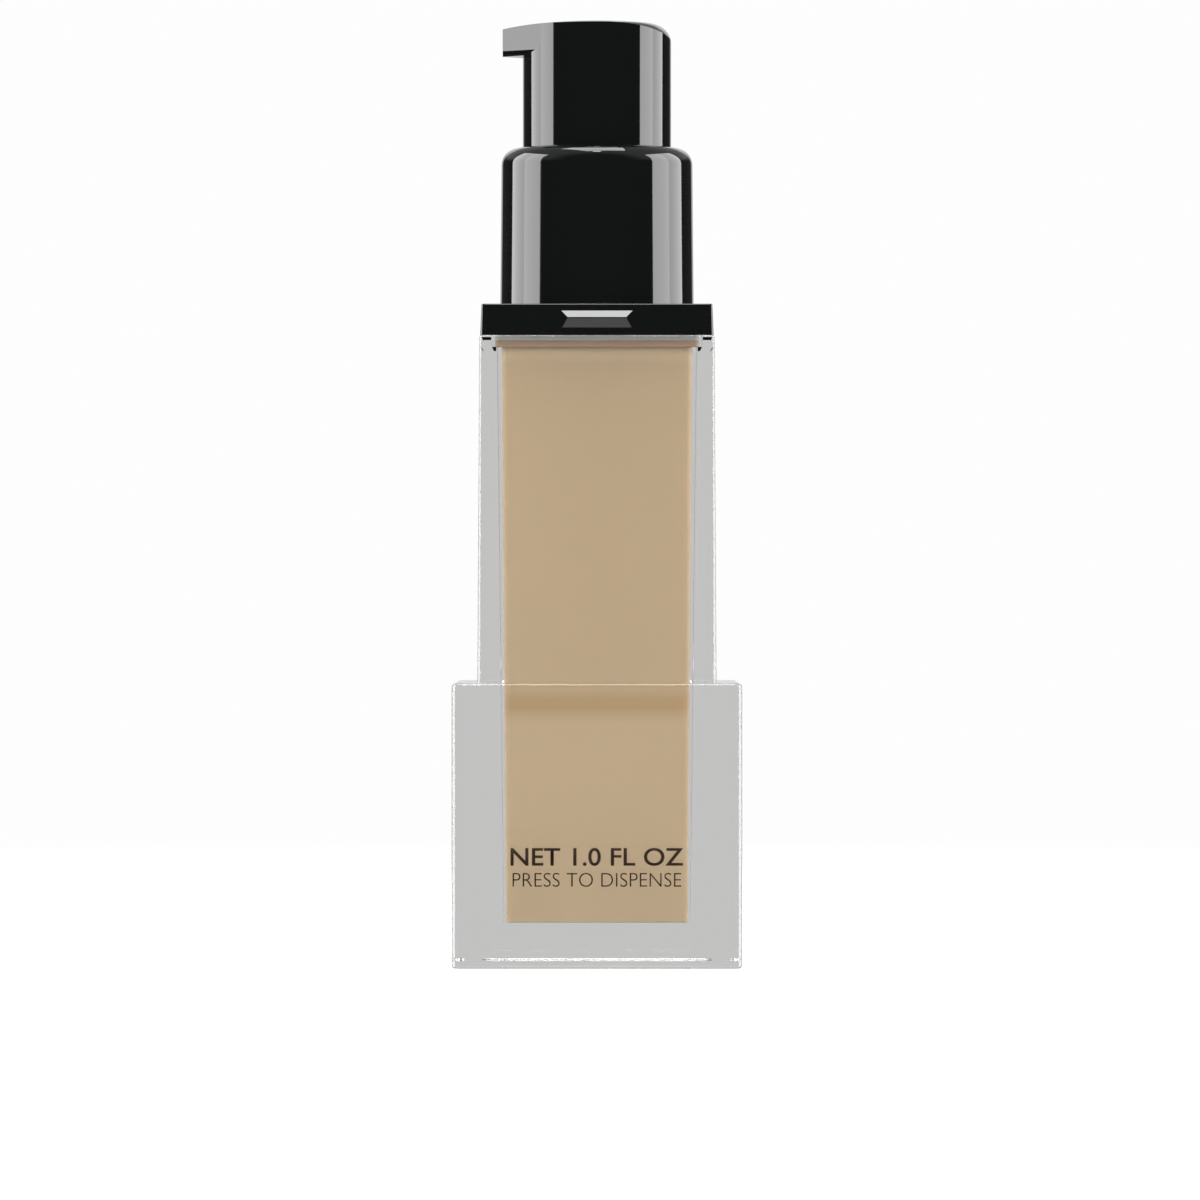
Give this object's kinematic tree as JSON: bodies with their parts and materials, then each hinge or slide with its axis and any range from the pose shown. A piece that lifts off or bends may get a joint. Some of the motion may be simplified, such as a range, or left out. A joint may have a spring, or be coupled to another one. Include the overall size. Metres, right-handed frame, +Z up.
{
  "type": "foundation bottle with press pump",
  "caption": "Clear square bottle with a wide foot and narrower body, a liner holding liquid foundation, a black shoulder plate and a screw-on press pump with a side nozzle.",
  "frame": {"origin": "middle of the underside, on the pump's axis", "axes": "+Z up along the pump's axis; the printed front faces -Y; the nozzle points to -X at rest"},
  "size_m": [0.035, 0.035, 0.1153],
  "materials": {
    "clear_acrylic": "polished clear acrylic",
    "liner_plastic": "thin milky polypropylene that takes the foundation's colour",
    "foundation": "smooth liquid make-up",
    "gloss_black": "high-gloss black",
    "black_plastic": "plain moulded black",
    "white_plastic": "moulded white polypropylene",
    "natural_plastic": "natural milky polypropylene",
    "tube_plastic": "natural polyethylene tube",
    "gasket_foam": "white closed-cell foam",
    "spring_steel": "drawn stainless wire",
    "ball_steel": "polished stainless ball"
  },
  "bodies": {
    "bottle": {"outer_bottle": "clear_acrylic", "inner_liner": "liner_plastic", "liner_neck": "white_plastic", "foundation_fluid": "foundation", "shoulder_plate": "gloss_black"},
    "pump": {"neck_gasket": "gasket_foam", "pump_housing": "natural_plastic", "stem_guide": "white_plastic", "dip_tube": "tube_plastic", "return_spring": "spring_steel"},
    "closure": {"screw_closure": "black_plastic", "collar_shell": "gloss_black"},
    "ball": {"check_ball": "ball_steel"},
    "plunger": {"stem": "white_plastic", "stem_valve": "white_plastic"},
    "piston_ring": {"piston": "natural_plastic"},
    "head": {"button_shell": "gloss_black", "button_core": "black_plastic", "nozzle_tube": "black_plastic"}
  },
  "joints": [
    {"name": "closure_lift", "type": "slide", "parent": "bottle", "child": "pump", "axis": [0, 0, 1], "range_m": [0, 0.006]},
    {"name": "closure_turn", "type": "hinge", "parent": "pump", "child": "closure", "pos_m": [0, 0, 0.0869], "axis": [0, 0, 1], "range_deg": [0, 720]},
    {"name": "ball_lift", "type": "slide", "parent": "pump", "child": "ball", "axis": [0, 0, 1], "range_m": [0, 0.0009]},
    {"name": "actuator_press", "type": "slide", "parent": "pump", "child": "plunger", "axis": [0, 0, -1], "range_m": [0, 0.0045], "stiffness_N_per_m": 1150, "springref_m": -0.006, "deforming": ["return_spring"]},
    {"name": "piston_slip", "type": "slide", "parent": "plunger", "child": "piston_ring", "axis": [0, 0, 1], "range_m": [0, 0.0006]},
    {"name": "head_turn", "type": "hinge", "parent": "plunger", "child": "head", "pos_m": [0, 0, 0.103], "axis": [0, 0, 1], "continuous": true}
  ],
  "couplings": [
    {"joint": "closure_turn", "follows": "closure_lift", "rad_per_m": 2094.4}
  ]
}
